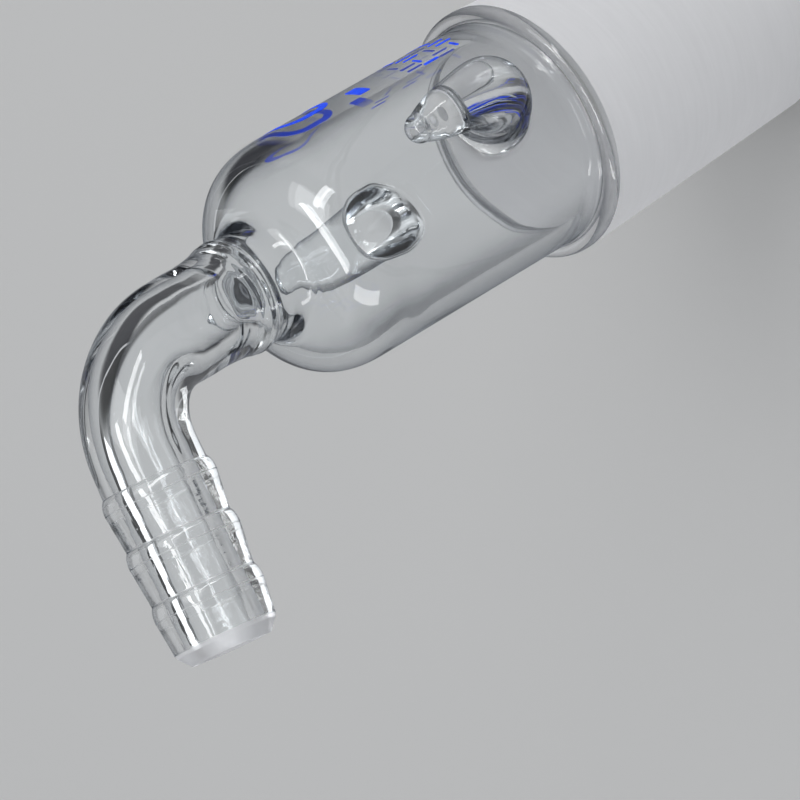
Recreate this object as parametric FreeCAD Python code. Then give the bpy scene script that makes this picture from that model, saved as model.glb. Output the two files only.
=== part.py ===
import FreeCAD, Part
import math
import os

# Right-angle hose adapter, lampworked borosilicate glass.
# Frame: +Z is the axis of the ground cone and body, pointing from the cone up to the hose end.
# The origin is the centre of the cone's wide end. The hose barb leaves towards +X.
# Lengths are in millimetres, angles in degrees, and azimuths run from +X towards +Y.
# Every piece of glass is fused to its neighbour, so the pieces share faces and never overlap.

V = FreeCAD.Vector
ORIGIN = V(0, 0, 0)
X_AXIS, Y_AXIS, Z_AXIS = V(1, 0, 0), V(0, 1, 0), V(0, 0, 1)
ARC_MID = 1 - math.sqrt(0.5)    # inset of a quarter arc's midpoint, as a share of its radius

# ---- ground cone, standard taper 24/29, narrow end down
CONE_R = 12.0            # radius at the wide end
CONE_LEN = 29.0          # ground length
TAPER = 0.05             # radius lost per millimetre of length
CONE_WALL = 1.7
CONE_BORE_R = CONE_R - CONE_WALL
TIP_ROUND = 0.55         # fire-polished edge of the narrow end
TIP_BORE_SHIFT = 0.01    # outward shift of the inner round's midpoint, for the tapered bore

# ---- body and rounded end
BODY_R = 10.75
BODY_WALL = 1.6
BODY_BORE_R = BODY_R - BODY_WALL
DOME_Z = 24.7            # where the straight body ends
DOME_H = 7.9             # full height of the superellipse behind the rounded end
DOME_POWER = 3.1         # fullness of the end: 2 is an ellipse, more is squarer
DOME_WALL = 1.7
DOME_STEPS = 16          # steps along each dome profile

# ---- tooled shoulder where the cone is fused to the body
SHOULDER_H = 2.4
SHOULDER_EDGE_H = 0.35   # short straight edge above the ground zone
LIP_ROUND = 0.75
CORNER_R = 0.45          # concave corner between shoulder and body
# bore between body and cone: (radius beyond the body's bore, height)
SHOULDER_BORE = [(0.12, 1.7), (0.55, 1.0), (1.0, 0.35)]

# ---- thick-walled tube and the neck weld that joins it to the rounded end
TUBE_R = 4.75
BORE_R = 2.5
NECK_R = 6.6             # radius at which the weld's fillet starts on the end
NECK_TOP_Z = 40.3
# A short wide neck is pulled up from the end, and the tube is fused to it in a slight bead.
# Outer and inner outlines: (radius, height)
NECK_OUTER = [
    (6.22, 32.13), (5.78, 32.43), (5.42, 32.9), (5.19, 33.5), (5.09, 34.2), (5.08, 34.9),
    (5.14, 35.5), (5.24, 36.0), (5.25, 36.4), (5.15, 36.9), (4.98, 37.6), (4.86, 38.5),
    (4.78, 39.5), (TUBE_R, NECK_TOP_Z),
]
NECK_INNER = [
    (5.95, 30.33), (5.25, 30.6), (4.6, 30.98), (4.14, 31.55), (3.88, 32.3), (3.74, 33.2),
    (3.66, 34.2), (3.54, 35.0), (3.25, 35.65), (2.88, 36.2), (2.62, 36.8), (BORE_R, 37.7),
]

# ---- elbow
BEND_Z = 43.5            # start of the bend
BEND_R = 8.9             # centreline radius
BEND_DEG = 82.5          # angle between the body's axis and the barb's axis
ARM_STUB = 2.0           # straight tube between the bend and the barb
BORE_OVERRUN = 1.0       # how far the bore cutter runs past each end

bend = math.radians(BEND_DEG)
ARM = V(math.sin(bend), 0, math.cos(bend))
BEND_END = V(BEND_R * (1 - math.cos(bend)), 0, BEND_Z + BEND_R * math.sin(bend))
BARB_ROOT = BEND_END + ARM * ARM_STUB

# ---- hose barb: (radius, distance from the barb's root)
# Each ridge rises in a curve, then falls straight to the start of the next part.
BARB_RIDGES = [
    [(4.76, 0.0), (4.93, 0.30), (5.10, 0.80), (5.14, 1.30)],
    [(4.72, 4.84), (4.90, 5.17), (5.04, 5.67), (5.07, 6.15)],
    [(4.68, 9.84), (4.81, 10.17), (4.94, 10.65), (4.98, 11.15)],
]
BARB_NOSE = [(4.62, 14.35), (4.50, 14.65), (3.62, 15.7)]
BARB_MOUTH = 0.25        # bevel at the mouth of the bore

# ---- spring hooks, solid glass, set by hand, so not quite half a turn apart
HOOK_AZIMUTHS = {
    "spring_hook_front": 104.7,    # on the +Y side
    "spring_hook_back": 275.0,     # on the -Y side
}
HOOK_Z = 10.3            # height of the hook's root
HOOK_SIDES = 24          # points round each section
HOOK_CUT_LEN = 60.0      # length of the cylinder that shapes the foot
# centreline of a claw: (height off the body, distance towards the hose end, half thickness)
HOOK = [
    (-2.4, -0.10, 4.75), (-0.9, 0.10, 4.65), (0.25, 0.30, 4.35), (1.05, 0.55, 3.95),
    (2.14, 0.95, 3.70), (3.40, 1.62, 3.55), (4.60, 2.50, 3.38), (5.70, 3.72, 3.16),
    (6.45, 5.20, 2.90), (6.81, 6.90, 2.60), (6.80, 8.60, 2.32), (6.66, 10.00, 2.04),
    (6.50, 11.30, 1.66), (6.41, 12.25, 1.28), (6.35, 12.95, 0.88), (6.32, 13.35, 0.35),
]

# ---- fired blue marks on the -X side, away from the barb
MARK_T = 0.05
FRAME_AZ = (160.0, 200.0)
FRAME_Z = (18.6, 24.3)
FRAME_LINE = 0.85
DASH = (152.5, 163.5, 15.7, 17.1)    # from azimuth, to azimuth, from height, to height
STROKE = 0.34            # width of a printed stroke
LONG_STROKE_DEG = 4.0    # wider spans are strokes round the body, the rest run along it
STROKE_SHIFTS = (0.0, 0.5, -0.5)     # height of a round stroke off mid-row, in turn
# rows of strokes: bottom, top, [(from azimuth, to azimuth), ...]
BAR_ROWS = [
    (8.2, 10.0, [
        (146.0, 148.6), (151.0, 157.0), (160.0, 162.6), (165.5, 168.1), (171.0, 179.0),
        (182.0, 184.6), (188.0, 196.0), (199.0, 201.6), (204.5, 207.1),
    ]),
    (4.6, 6.4, [
        (148.0, 154.0), (157.0, 159.6), (162.5, 165.1), (168.0, 176.0), (179.5, 182.1),
        (185.0, 191.0), (194.0, 196.6), (199.5, 202.1),
    ]),
]


# ---------------------------------------------------------------- helpers
def point(r, z):
    return V(r, 0, z)


def curve(points):
    """One smooth edge through (r, z) points."""
    spline = Part.BSplineCurve()
    spline.interpolate([point(*p) for p in points])
    return spline.toShape()


def lines(*points):
    """Straight edges joining (r, z) points in turn."""
    return [Part.makeLine(point(*p), point(*q)) for p, q in zip(points, points[1:])]


def arc(start, middle, end):
    return Part.Arc(point(*start), point(*middle), point(*end)).toShape()


def one_solid(shape):
    """The first solid of a shape, turned right side out."""
    solid = shape.Solids[0]
    if solid.Volume < 0:
        solid.reverse()
    return solid


def turned(edges):
    """A solid of revolution about Z from a closed loop of edges in the XZ plane."""
    wire = Part.Wire(Part.__sortEdges__(edges))
    return one_solid(Part.Face(wire).revolve(ORIGIN, Z_AXIS, 360))


def save(name, shape):
    solids = shape.Solids
    assert solids, name
    for solid in solids:
        assert solid.isValid() and solid.Volume > 0, name
    out = solids[0] if len(solids) == 1 else Part.makeCompound(solids)
    out.exportStep("parts/%s.step" % name)


# ---------------------------------------------------------------- cone and body
def ground_cone():
    tip_z = -CONE_LEN
    round_z = tip_z + TIP_ROUND
    tip_r = CONE_R + TAPER * tip_z
    tip_bore_r = tip_r - CONE_WALL
    inset = TIP_ROUND * ARC_MID
    outer_foot = (tip_r - TIP_ROUND, tip_z)
    outer_top = (CONE_R + TAPER * round_z, round_z)
    inner_foot = (tip_bore_r + TIP_ROUND, tip_z)
    inner_top = (tip_bore_r + TAPER * TIP_ROUND, round_z)
    return turned([
        *lines(inner_foot, outer_foot),
        arc(outer_foot, (tip_r - inset, tip_z + inset), outer_top),
        *lines(outer_top, (CONE_R, 0), (CONE_BORE_R, 0), inner_top),
        arc(inner_top, (tip_bore_r + inset + TIP_BORE_SHIFT, tip_z + inset), inner_foot),
    ])


def cone_shoulder():
    edge_z = SHOULDER_EDGE_H
    lip_z = edge_z + LIP_ROUND
    lip_mid = (CONE_R - LIP_ROUND * ARC_MID, edge_z + LIP_ROUND * (1 - ARC_MID))
    lip_end = (CONE_R - LIP_ROUND, lip_z)
    corner_start = (BODY_R + CORNER_R, lip_z)
    corner_mid = (BODY_R + CORNER_R * ARC_MID, lip_z + CORNER_R * ARC_MID)
    corner_end = (BODY_R, lip_z + CORNER_R)
    bore_top = (BODY_BORE_R, SHOULDER_H)
    bore = [(BODY_BORE_R + beyond, z) for beyond, z in SHOULDER_BORE]
    return turned([
        *lines((CONE_R, 0), (CONE_R, edge_z)),
        arc((CONE_R, edge_z), lip_mid, lip_end),
        *lines(lip_end, corner_start),
        arc(corner_start, corner_mid, corner_end),
        *lines(corner_end, (BODY_R, SHOULDER_H), bore_top),
        curve([bore_top] + bore + [(CONE_BORE_R, 0)]),
        *lines((CONE_BORE_R, 0), (CONE_R, 0)),
    ])


def body_tube():
    return turned(lines(
        (BODY_R, SHOULDER_H), (BODY_R, DOME_Z), (BODY_BORE_R, DOME_Z),
        (BODY_BORE_R, SHOULDER_H), (BODY_R, SHOULDER_H),
    ))


# ---------------------------------------------------------------- rounded end and neck
def dome_profile(rim_r, height):
    """Points from the rim up to NECK_R, spaced evenly along the superellipse's angle."""
    end_angle = math.acos((NECK_R / rim_r) ** (DOME_POWER / 2))
    points = []
    for i in range(DOME_STEPS + 1):
        angle = end_angle * i / DOME_STEPS
        r = rim_r * math.cos(angle) ** (2 / DOME_POWER)
        z = DOME_Z + height * math.sin(angle) ** (2 / DOME_POWER)
        points.append((r, z))
    return points


def end_dome(outer, inner):
    return turned([
        curve(outer),
        *lines(outer[-1], inner[-1]),
        curve(inner),
        *lines(inner[0], outer[0]),
    ])


def neck_weld(outer_z, inner_z):
    """The weld, starting on the dome at NECK_R between the two heights."""
    outer_start, inner_start = (NECK_R, outer_z), (NECK_R, inner_z)
    return turned([
        curve([outer_start] + NECK_OUTER),
        *lines((TUBE_R, NECK_TOP_Z), (BORE_R, NECK_TOP_Z), NECK_INNER[-1]),
        curve([inner_start] + NECK_INNER),
        *lines(inner_start, outer_start),
    ])


# ---------------------------------------------------------------- elbow and barb
def bent_rod(radius, overrun):
    """Straight, bend and arm stub of one radius; both ends run on by overrun."""
    low = Part.makeCylinder(radius, BEND_Z - NECK_TOP_Z + overrun,
                            V(0, 0, NECK_TOP_Z - overrun), Z_AXIS)
    circle = Part.makeCircle(radius, V(0, 0, BEND_Z), Z_AXIS)
    disc = Part.Face(Part.Wire(circle))
    middle = disc.revolve(V(BEND_R, 0, BEND_Z), Y_AXIS, BEND_DEG)
    high = Part.makeCylinder(radius, ARM_STUB + overrun, BEND_END, ARM)
    return one_solid(low.fuse(middle).fuse(high).removeSplitter())


def elbow_tube():
    return bent_rod(TUBE_R, 0).cut(bent_rod(BORE_R, BORE_OVERRUN))


def hose_barb():
    """Turned about Z, then laid along the arm."""
    edges = []
    for ridge, following in zip(BARB_RIDGES, BARB_RIDGES[1:] + [BARB_NOSE]):
        edges.append(curve(ridge))
        edges += lines(ridge[-1], following[0])
    end = BARB_NOSE[-1][1]
    edges += lines(*BARB_NOSE, (BORE_R + BARB_MOUTH, end), (BORE_R, end - BARB_MOUTH),
                   (BORE_R, 0), BARB_RIDGES[0][0])
    barb = turned(edges)
    barb.Placement = FreeCAD.Placement(BARB_ROOT, FreeCAD.Rotation(Z_AXIS, ARM))
    return barb


# ---------------------------------------------------------------- spring hooks
def spring_hook():
    """A tapering bent claw at azimuth 0, its splayed foot cut to the body's surface."""
    angles = [2 * math.pi * j / HOOK_SIDES for j in range(HOOK_SIDES)]
    sections = []
    for i, (height, along, radius) in enumerate(HOOK):
        before = HOOK[max(0, i - 1)]
        after = HOOK[min(len(HOOK) - 1, i + 1)]
        tangent = V(after[0] - before[0], 0, after[1] - before[1])
        tangent.normalize()
        # every section starts on the same side, so the loft doesn't twist
        side = Y_AXIS
        up = tangent.cross(side)
        centre = V(BODY_R + height, 0, HOOK_Z + along)
        points = [centre + side * (radius * math.cos(angle)) + up * (radius * math.sin(angle))
                  for angle in angles]
        spline = Part.BSplineCurve()
        spline.interpolate(points, PeriodicFlag=True)
        sections.append(Part.Wire(spline.toShape()))
    claw = one_solid(Part.makeLoft(sections, True, False))
    core = Part.makeCylinder(BODY_R, HOOK_CUT_LEN, V(0, 0, HOOK_Z - HOOK_CUT_LEN / 2), Z_AXIS)
    return one_solid(claw.cut(core))


# ---------------------------------------------------------------- fired marks
def patch(az_from, az_to, bottom, top):
    """A thin curved tile lying on the body between two azimuths and two heights."""
    outer_r = BODY_R + MARK_T
    corners = [(BODY_R, bottom), (outer_r, bottom), (outer_r, top), (BODY_R, top),
               (BODY_R, bottom)]
    loop = Part.makePolygon([point(*corner) for corner in corners])
    tile = Part.Face(loop).revolve(ORIGIN, Z_AXIS, az_to - az_from)
    tile.rotate(ORIGIN, Z_AXIS, az_from)
    return one_solid(tile)


def frame_mark():
    az_from, az_to = FRAME_AZ
    bottom, top = FRAME_Z
    line_deg = math.degrees(FRAME_LINE / BODY_R)
    frame = patch(az_from, az_to, bottom, bottom + FRAME_LINE)
    for side in (
        patch(az_from, az_to, top - FRAME_LINE, top),
        patch(az_from, az_from + line_deg, bottom, top),
        patch(az_to - line_deg, az_to, bottom, top),
    ):
        frame = frame.fuse(side)
    return frame.removeSplitter()


def bar_marks():
    """The dash and the two rows of strokes below it."""
    bars = [patch(*DASH)]
    half_deg = math.degrees(STROKE / 2 / BODY_R)
    for bottom, top, spans in BAR_ROWS:
        for i, (az_from, az_to) in enumerate(spans):
            if az_to - az_from > LONG_STROKE_DEG:
                z = (bottom + top) / 2 + STROKE_SHIFTS[i % len(STROKE_SHIFTS)]
                bars.append(patch(az_from, az_to, z - STROKE / 2, z + STROKE / 2))
            else:
                azimuth = (az_from + az_to) / 2
                bars.append(patch(azimuth - half_deg, azimuth + half_deg, bottom, top))
    return Part.makeCompound(bars)


# ---------------------------------------------------------------- build
os.makedirs("parts", exist_ok=True)

save("ground_cone", ground_cone())
save("cone_shoulder", cone_shoulder())
save("body_tube", body_tube())

dome_outer = dome_profile(BODY_R, DOME_H)
dome_inner = dome_profile(BODY_BORE_R, DOME_H - DOME_WALL)
save("end_dome", end_dome(dome_outer, dome_inner))
save("neck_weld", neck_weld(dome_outer[-1][1], dome_inner[-1][1]))
save("elbow_tube", elbow_tube())
save("hose_barb", hose_barb())

hook = spring_hook()
for hook_name, hook_azimuth in HOOK_AZIMUTHS.items():
    placed = hook.copy()
    placed.rotate(ORIGIN, Z_AXIS, hook_azimuth)
    save(hook_name, placed)

save("enamel_frame_mark", frame_mark())
save("enamel_bar_marks", bar_marks())
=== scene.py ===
# Right-angle hose adapter in lampworked borosilicate glass.
# The ground cone points down -Z, the body stands on the Z axis, and the elbow turns towards +X
# into a hose barb. Two spring hooks sit near +Y and -Y, and the enamel marks face -X.
# Lengths are millimetres, turned to metres when a mesh is made. Stage, camera and lights use metres
# unless a name ends in _MM.
# Every glass piece is one closed mesh. Where two pieces are fused, their shared faces carry a
# see-through join material, so light crosses from one to the next as in continuous glass.

import math
from collections import namedtuple

import bpy
import numpy as np
from mathutils import Matrix, Vector
from mathutils.geometry import delaunay_2d_cdt


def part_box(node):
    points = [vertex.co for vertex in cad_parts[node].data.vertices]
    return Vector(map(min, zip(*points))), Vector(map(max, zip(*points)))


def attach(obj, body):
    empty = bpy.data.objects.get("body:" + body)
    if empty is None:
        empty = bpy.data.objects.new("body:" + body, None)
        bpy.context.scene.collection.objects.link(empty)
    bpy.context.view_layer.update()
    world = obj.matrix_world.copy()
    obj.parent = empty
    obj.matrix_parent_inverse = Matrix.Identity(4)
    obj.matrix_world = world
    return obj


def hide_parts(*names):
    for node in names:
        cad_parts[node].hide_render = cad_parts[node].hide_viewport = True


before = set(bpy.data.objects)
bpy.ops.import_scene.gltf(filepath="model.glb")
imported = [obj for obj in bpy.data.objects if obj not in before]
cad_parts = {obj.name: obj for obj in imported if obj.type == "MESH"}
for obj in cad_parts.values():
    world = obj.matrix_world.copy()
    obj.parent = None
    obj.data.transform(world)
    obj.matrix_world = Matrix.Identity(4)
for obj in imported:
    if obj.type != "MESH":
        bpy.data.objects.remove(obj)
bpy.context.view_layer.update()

MM = 0.001


def box_mm(node):
    low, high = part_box(node)
    return np.array(low) / MM, np.array(high) / MM


# ------------------------------------------------------------------ driving sizes
cone_low, cone_high = box_mm("ground_cone")
CONE_RADIUS = cone_high[0]              # at the wide top, z = 0
CONE_TIP_Z = cone_low[2]
CONE_TAPER = 0.05                       # radius gained per millimetre of height
CONE_WALL = 1.7
CONE_BORE_TOP = CONE_RADIUS - CONE_WALL
TIP_ROUND = 0.55

body_low, body_high = box_mm("body_tube")
BODY_RADIUS = body_high[0]
BODY_INNER = BODY_RADIUS - 1.6
SHOULDER_Z, DOME_Z = body_low[2], body_high[2]

LIP_ROUND = 0.75                        # rounded rim of the shoulder
LIP_Z = 0.35                            # where that rounding starts
SHOULDER_FILLET = 0.45

DOME_HEIGHT, DOME_WALL = 7.9, 1.7
DOME_POWER = 3.1                        # superellipse exponent; 2 would be an ellipse

NECK_RADIUS = box_mm("neck_weld")[1][0]
NECK_TOP = box_mm("neck_weld")[1][2]
TUBE_RADIUS = box_mm("elbow_tube")[1][1]
BORE_RADIUS = 2.5
BEND_Z, BEND_RADIUS, BEND_ANGLE = 43.5, 8.9, math.radians(82.5)
STUB_LENGTH = 2.0                       # straight tube between the bend and the barb

HOOK_AZIMUTHS = (math.radians(104.7), math.radians(275.0))
HOOK_Z = 10.3
FOOT_HALF_WIDTH, FOOT_HALF_HEIGHT = 4.45, 5.15
FOOT_Z = HOOK_Z + 0.28
FOOT_SEGMENTS = 128

BODY_SEGMENTS = 288
TUBE_SEGMENTS = 160
RING_START = math.radians(30.0)         # azimuth where every ring starts, clear of hooks and marks

X_AXIS, Y_AXIS, Z_AXIS = np.eye(3)
ARM_ALONG = np.array([math.sin(BEND_ANGLE), 0.0, math.cos(BEND_ANGLE)])
ARM_SIDE = np.array([math.cos(BEND_ANGLE), 0.0, -math.sin(BEND_ANGLE)])
BEND_END = np.array([
    BEND_RADIUS * (1 - math.cos(BEND_ANGLE)), 0.0, BEND_Z + BEND_RADIUS * math.sin(BEND_ANGLE)])

# A surface of revolution turns about `along`; its angles run from `side` to `across`.
Axes = namedtuple("Axes", "origin side across along")
UPRIGHT = Axes(np.zeros(3), X_AXIS, Y_AXIS, Z_AXIS)
BARB_AXES = Axes(BEND_END + ARM_ALONG * STUB_LENGTH, ARM_SIDE, Y_AXIS, ARM_ALONG)

# One stretch of a closed profile. `wobble(angle, z)` is added to its radius. A direction (dr, dz)
# makes the first or last row's normals exact, so that fused pieces shade as one.
Strip = namedtuple("Strip", "profile material wobble first last", defaults=(None, None, None))


# ------------------------------------------------------------------ curves
def unit(v):
    return v / np.maximum(np.linalg.norm(v, axis=-1, keepdims=True), 1e-12)


def line(start, end, count):
    t = np.linspace(0, 1, count)[:, None]
    return np.array(start, float) * (1 - t) + np.array(end, float) * t


def arc(centre, radius, from_degrees, to_degrees, count):
    angle = np.radians(np.linspace(from_degrees, to_degrees, count))
    return np.c_[centre[0] + radius * np.cos(angle), centre[1] + radius * np.sin(angle)]


def smooth_through(points, per_span=10, start=None, end=None):
    """Cubic Hermite curve through points; start and end are optional end directions."""
    p = np.asarray(points, float)
    chords = np.linalg.norm(np.diff(p, axis=0), axis=1)
    knots = np.r_[0, np.cumsum(np.maximum(chords, 1e-9) ** 0.5)]
    steps = np.diff(knots)
    secants = np.diff(p, axis=0) / steps[:, None]
    slopes = np.zeros_like(p)
    for i in range(1, len(p) - 1):
        before, after = steps[i - 1], steps[i]
        slopes[i] = (secants[i - 1] * after + secants[i] * before) / (before + after)
    slopes[0] = 2 * secants[0] - slopes[1]
    slopes[-1] = 2 * secants[-1] - slopes[-2]
    if start is not None:
        slopes[0] = unit(np.array(start, float)) * chords[0] / steps[0]
    if end is not None:
        slopes[-1] = unit(np.array(end, float)) * chords[-1] / steps[-1]
    spans = []
    for i, step in enumerate(steps):
        t = np.linspace(0, 1, per_span + 1)[:, None]
        if i < len(steps) - 1:
            t = t[:-1]
        spans.append(hermite(t, p[i], step * slopes[i], p[i + 1], step * slopes[i + 1]))
    return np.concatenate(spans)


def hermite(t, start, start_slope, end, end_slope):
    return ((2 * t**3 - 3 * t**2 + 1) * start + (t**3 - 2 * t**2 + t) * start_slope
            + (-2 * t**3 + 3 * t**2) * end + (t**3 - t**2) * end_slope)


# ------------------------------------------------------------------ wobble of hand-worked glass
def waves(seed, amplitude, terms):
    """Sum of waves round and along a tube.

    terms: least waves round, limit of waves round (not reached), greatest radians per mm along,
    weight.
    """
    rng = np.random.default_rng(seed)
    drawn = []
    for low, limit, fastest, weight in terms:
        around = int(rng.integers(low, limit))
        along = rng.uniform(0, fastest)
        drawn.append((around, along, rng.uniform(0, 6.28), rng.uniform(0, 6.28), weight))

    def wobble(angle, z):
        total = 0 * angle
        for around, along, phase_around, phase_along, weight in drawn:
            total = total + (weight * np.cos(around * angle + phase_around)
                             * np.cos(along * z + phase_along))
        return amplitude * total

    return wobble


def end_fade(z, low, high, edge):
    """1 in the middle, easing to 0 at low and high over the length edge."""
    w = np.clip((z - low) / edge, 0, 1) * np.clip((high - z) / edge, 0, 1)
    return w * w * (3 - 2 * w)


def faded(wobble, low, high, edge):
    """The wobble, brought to nothing at both ends so that neighbouring pieces meet."""
    return lambda angle, z: wobble(angle, z) * end_fade(z, low, high, edge)


# ------------------------------------------------------------------ mesh building
class Build:
    """Collects vertices, faces, a normal for every face corner and a material for every face."""

    def __init__(self, materials):
        self.materials = materials
        self.points, self.count = [], 0
        self.faces, self.normals, self.slots = [], [], []

    def verts(self, points):
        points = np.asarray(points, float).reshape(-1, 3)
        ids = np.arange(self.count, self.count + len(points))
        self.points.append(points)
        self.count += len(points)
        return ids

    def grid_verts(self, points):
        return self.verts(points).reshape(points.shape[:2])

    def grid(self, ids, normals, material, closed=True):
        """Quads between rows and columns; closed joins the last column to the first."""
        ids = np.asarray(ids)
        if closed:
            ids = np.concatenate([ids, ids[:, :1]], 1)
            normals = np.concatenate([normals, normals[:, :1]], 1)

        def corners(a, axis):
            return np.stack([a[:-1, :-1], a[:-1, 1:], a[1:, 1:], a[1:, :-1]], axis)

        faces = corners(ids, -1).reshape(-1, 4)
        self.faces += faces.tolist()
        self.normals.append(corners(normals, -2).reshape(-1, 3))
        self.slots += [self.materials.index(material)] * len(faces)

    def polygons(self, faces, normals, materials):
        """faces are index lists, normals has one per corner, materials one per face."""
        self.faces += [list(map(int, face)) for face in faces]
        self.normals.append(np.asarray(normals, float).reshape(-1, 3))
        self.slots += [self.materials.index(material) for material in materials]

    def make(self, name, node):
        mesh = bpy.data.meshes.new(name)
        mesh.from_pydata((np.concatenate(self.points) * MM).tolist(), [], self.faces)
        for material in self.materials:
            mesh.materials.append(material)
        mesh.polygons.foreach_set("material_index", np.array(self.slots, np.int32))
        mesh.polygons.foreach_set("use_smooth", np.ones(len(mesh.polygons), bool))
        mesh.update()
        mesh.normals_split_custom_set(unit(np.concatenate(self.normals)).tolist())
        ob = bpy.data.objects.new(name, mesh)
        bpy.context.scene.collection.objects.link(ob)
        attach(ob, "root")
        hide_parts(node)


def ring_angles(count):
    return RING_START + 2 * np.pi * np.arange(count) / count


def spokes(angle, side, across):
    """Unit vectors at each angle, turning from side to across."""
    return np.cos(angle)[:, None] * side + np.sin(angle)[:, None] * across


def ring_normals(points):
    """Outward normals of a grid closed in columns, its rows running along the profile."""
    around = np.roll(points, -1, 1) - np.roll(points, 1, 1)
    if len(points) > 2:
        along = np.gradient(points, axis=0, edge_order=2)
    else:
        along = np.repeat(points[1:] - points[:-1], 2, 0)
    return unit(np.cross(around, along))


def revolve(profile, segments, wobble, axes):
    """Positions and normals of a profile of (radius, z) turned about its axes."""
    profile = np.asarray(profile, float)
    angle = ring_angles(segments)
    radius = profile[:, :1] + 0 * angle[None]
    z = profile[:, 1:2] + 0 * angle[None]
    if wobble is not None:
        radius = radius + wobble(angle[None] + 0 * z, z)
    outward = spokes(angle, axes.side, axes.across)
    points = axes.origin + radius[..., None] * outward[None] + z[..., None] * axes.along
    return points, ring_normals(points)


def ring_piece(name, node, materials, strips, segments=BODY_SEGMENTS, axes=UPRIGHT):
    """A solid of revolution; the strips go round its closed profile, outer side going up."""
    build = Build(materials)
    outward = spokes(ring_angles(segments), axes.side, axes.across)
    first = last = None
    for number, strip in enumerate(strips):
        points, normals = revolve(strip.profile, segments, strip.wobble, axes)
        for row, direction in ((0, strip.first), (-1, strip.last)):
            if direction is not None:
                normals[row] = unit(direction[1] * outward - direction[0] * axes.along)
        # neighbouring strips share a ring, and the last strip ends on the very first ring
        ids = np.empty(points.shape[:2], int)
        begin, stop = 0, len(points)
        if last is not None:
            ids[0] = last
            begin = 1
        if number == len(strips) - 1:
            ids[-1] = first
            stop -= 1
        if stop > begin:
            ids[begin:stop] = build.grid_verts(points[begin:stop])
        if first is None:
            first = ids[0]
        last = ids[-1]
        build.grid(ids, normals, strip.material)
    build.make(name, node)


# ------------------------------------------------------------------ shader helpers
def feed(tree, socket, value):
    """Link a node's first output or a socket, or set a plain value."""
    if isinstance(value, bpy.types.Node):
        value = value.outputs[0]
    if isinstance(value, bpy.types.NodeSocket):
        tree.links.new(value, socket)
    else:
        socket.default_value = value


def add(tree, kind, *inputs, **named):
    """Add a shader node. Positional values feed its inputs in order. A capitalised name is an
    input, with underscores for spaces; a lower-case name is a setting."""
    node = tree.nodes.new("ShaderNode" + kind)
    for key, value in named.items():
        if key[0].islower():
            setattr(node, key, value)
    for socket, value in zip(node.inputs, inputs):
        feed(tree, socket, value)
    for key, value in named.items():
        if key[0].isupper():
            feed(tree, node.inputs[key.replace("_", " ")], value)
    return node


def new_material(name):
    material = bpy.data.materials.new(name)
    material.use_nodes = True
    material.node_tree.nodes.clear()
    return material, material.node_tree


def object_coords(tree):
    return add(tree, "TexCoord").outputs["Object"]


def noise(tree, vector, scale=1.0, detail=2.0, roughness=0.5):
    return add(tree, "TexNoise", vector, Scale=scale, Detail=detail, Roughness=roughness)


def stretched_noise(tree, coords, scale, **settings):
    return noise(tree, add(tree, "Mapping", coords, Scale=scale), **settings)


def smooth_range(tree, value, low, high, to_low=0.0, to_high=1.0):
    return add(tree, "MapRange", value, interpolation_type="SMOOTHSTEP",
               From_Min=low, From_Max=high, To_Min=to_low, To_Max=to_high)


# Mix nodes have sockets for every data type: first input, second input, output
MIX_SOCKETS = {"FLOAT": (2, 3, 0), "RGBA": (6, 7, 2)}


def mix_values(tree, data_type, factor, first, second):
    first_socket, second_socket, output = MIX_SOCKETS[data_type]
    node = add(tree, "Mix", factor, data_type=data_type)
    feed(tree, node.inputs[first_socket], first)
    feed(tree, node.inputs[second_socket], second)
    return node.outputs[output]


def see_through_for_shadows(tree, surface, face=0.93, edge=0.55):
    """Shadow and diffuse rays pass straight through, dimmed most where glass is seen edge on."""
    path = add(tree, "LightPath")
    passing = add(tree, "Math", path.outputs["Is Shadow Ray"], path.outputs["Is Diffuse Ray"],
                  operation="MAXIMUM")
    facing = add(tree, "LayerWeight", Blend=0.35).outputs["Facing"]
    tint = add(tree, "MapRange", facing, To_Min=face, To_Max=edge)
    clear = add(tree, "BsdfTransparent", Color=add(tree, "CombineColor", tint, tint, tint))
    add(tree, "OutputMaterial", add(tree, "MixShader", passing, surface, clear))


# ------------------------------------------------------------------ materials
GLASS_IOR = 1.473


def join_material():
    material, tree = new_material("fused_join")
    add(tree, "OutputMaterial", add(tree, "BsdfTransparent"))
    return material


def clear_glass(name, draw_scale, bump, bump_depth=0.00005, rough=0.0, edge=0.48,
                grain_scale=190.0, grain_share=1.6, ripple_scale=None):
    """Borosilicate glass with faint draw lines, grain and, where ripple_scale is given, ripples.

    edge is how much painted shade darkens and greys it where it is seen edge on, standing in for
    the dark surroundings that thick glass shows at its edges.
    """
    material, tree = new_material(name)
    coords = object_coords(tree)
    lines = stretched_noise(tree, coords, draw_scale, detail=3.0)
    grain = noise(tree, coords, scale=grain_scale, detail=1.0, roughness=0.4)
    weighted = add(tree, "Math", grain, grain_share, operation="MULTIPLY")
    height = add(tree, "Math", lines, weighted, operation="ADD")
    if ripple_scale is not None:
        ripples = stretched_noise(tree, coords, ripple_scale, detail=2.0)
        ripple_share = 0.8
        height = add(tree, "Math", ripples, ripple_share, height, operation="MULTIPLY_ADD")
    normal = add(tree, "Bump", Strength=bump, Distance=bump_depth, Height=height)
    # painted shade: the glass colour darkens where the surface is seen edge on
    facing = add(tree, "LayerWeight", Blend=0.5).outputs["Facing"]
    colour_with_painted_edge_shade = mix_values(
        tree, "RGBA", smooth_range(tree, facing, low=0.34, high=0.97),
        first=(0.985, 0.992, 0.996, 1),
        second=(1 - edge, 1 - edge * 0.97, 1 - edge * 0.92, 1))
    glass = add(tree, "BsdfGlass", Color=colour_with_painted_edge_shade, IOR=GLASS_IOR, Roughness=rough, Normal=normal)
    see_through_for_shadows(tree, glass)
    return material


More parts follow.
